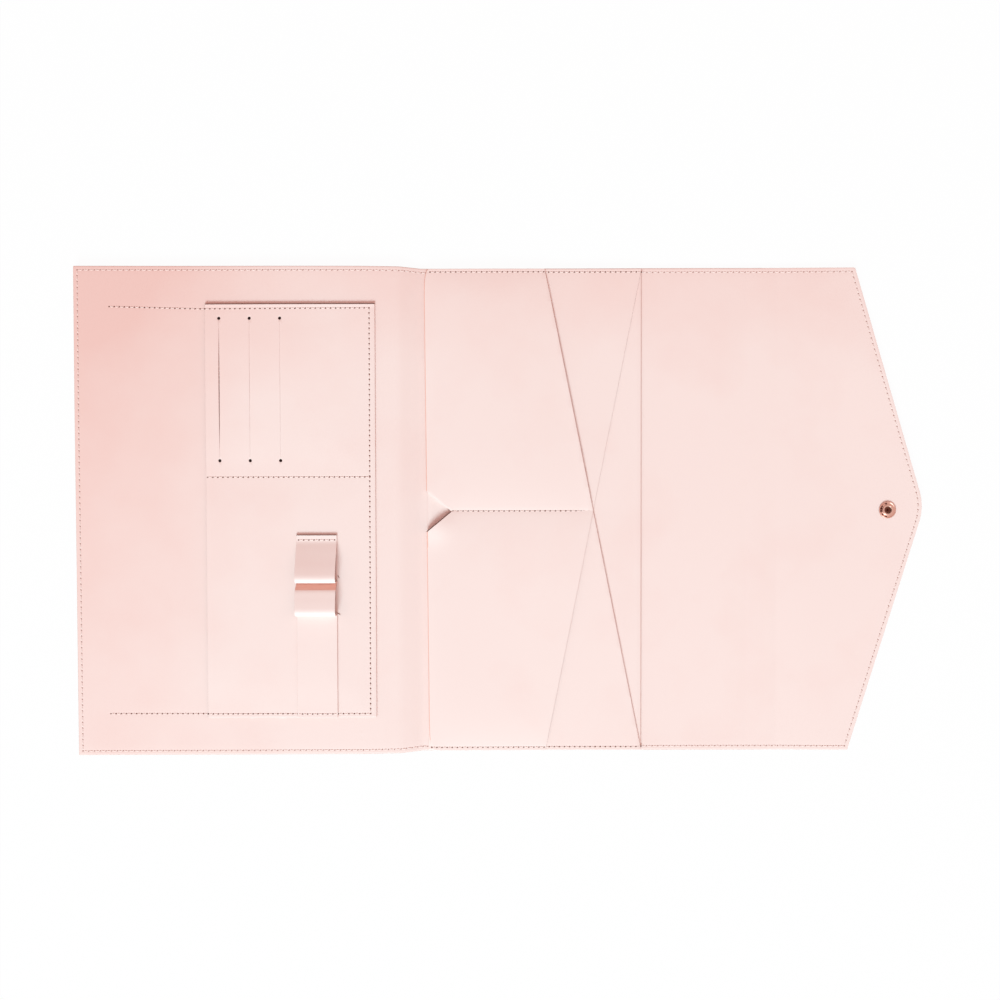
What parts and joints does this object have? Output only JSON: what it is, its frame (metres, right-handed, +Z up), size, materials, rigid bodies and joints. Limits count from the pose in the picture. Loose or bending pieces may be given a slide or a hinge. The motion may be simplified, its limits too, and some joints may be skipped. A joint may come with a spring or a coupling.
{
  "type": "portfolio clutch",
  "caption": "Leather document portfolio lying open: an organizer cover with card slots and pen loops, a back with nested pockets, and a pointed flap with a press stud.",
  "frame": {"origin": "centre of the open clutch's footprint, on the surface that it lies on", "axes": "+X across the folds from the cover towards the flap's tip, +Y along the folds, +Z up out of the inside face"},
  "size_m": [0.5656, 0.3266, 0.0134],
  "materials": {
    "outer_leather": "smooth blush leather with a fine grain and a soft sheen",
    "lining_leather": "smooth blush lining leather, matte",
    "pocket_leather": "smooth blush pocket leather, matte, with bare cut edges",
    "snap_metal": "polished rose-gold plating"
  },
  "bodies": {
    "back": {"outer_back": "outer_leather", "lining_back": "lining_leather", "document_pocket": "pocket_leather", "divided_pocket": "pocket_leather"},
    "spine": {"outer_spine": "outer_leather", "lining_spine": "lining_leather"},
    "cover": {"outer_cover": "outer_leather", "lining_cover": "lining_leather", "organizer_pocket": "pocket_leather", "pen_loop_strap": "pocket_leather", "slip_pocket": "outer_leather", "snap_stud": "snap_metal", "snap_stud_post": "snap_metal"},
    "fold": {"outer_fold": "outer_leather", "lining_fold": "lining_leather"},
    "flap": {"outer_flap": "outer_leather", "lining_flap": "lining_leather", "snap_cap": "snap_metal", "snap_socket": "snap_metal", "snap_spring": "snap_metal"}
  },
  "joints": [
    {"name": "spine_fold", "type": "hinge", "parent": "back", "child": "spine", "pos_m": [-0.05213, 0, 0.00191], "axis": [0, 1, 0], "range_deg": [0, 78.07]},
    {"name": "cover_fold", "type": "hinge", "parent": "spine", "child": "cover", "pos_m": [-0.06681, 0, 0.00501], "axis": [0, 1, 0], "range_deg": [0, 101.93]},
    {"name": "flap_root_fold", "type": "hinge", "parent": "back", "child": "fold", "pos_m": [0.16487, 0, 0.00191], "axis": [0, -1, 0], "range_deg": [0, 90]},
    {"name": "flap_fold", "type": "hinge", "parent": "fold", "child": "flap", "pos_m": [0.18507, 0, 0.00191], "axis": [0, -1, 0], "range_deg": [0, 88.7]}
  ],
  "couplings": [
    {"joint": "cover_fold", "follows": "spine_fold", "ratio": 1.3055},
    {"joint": "flap_fold", "follows": "flap_root_fold", "ratio": 0.98447}
  ]
}
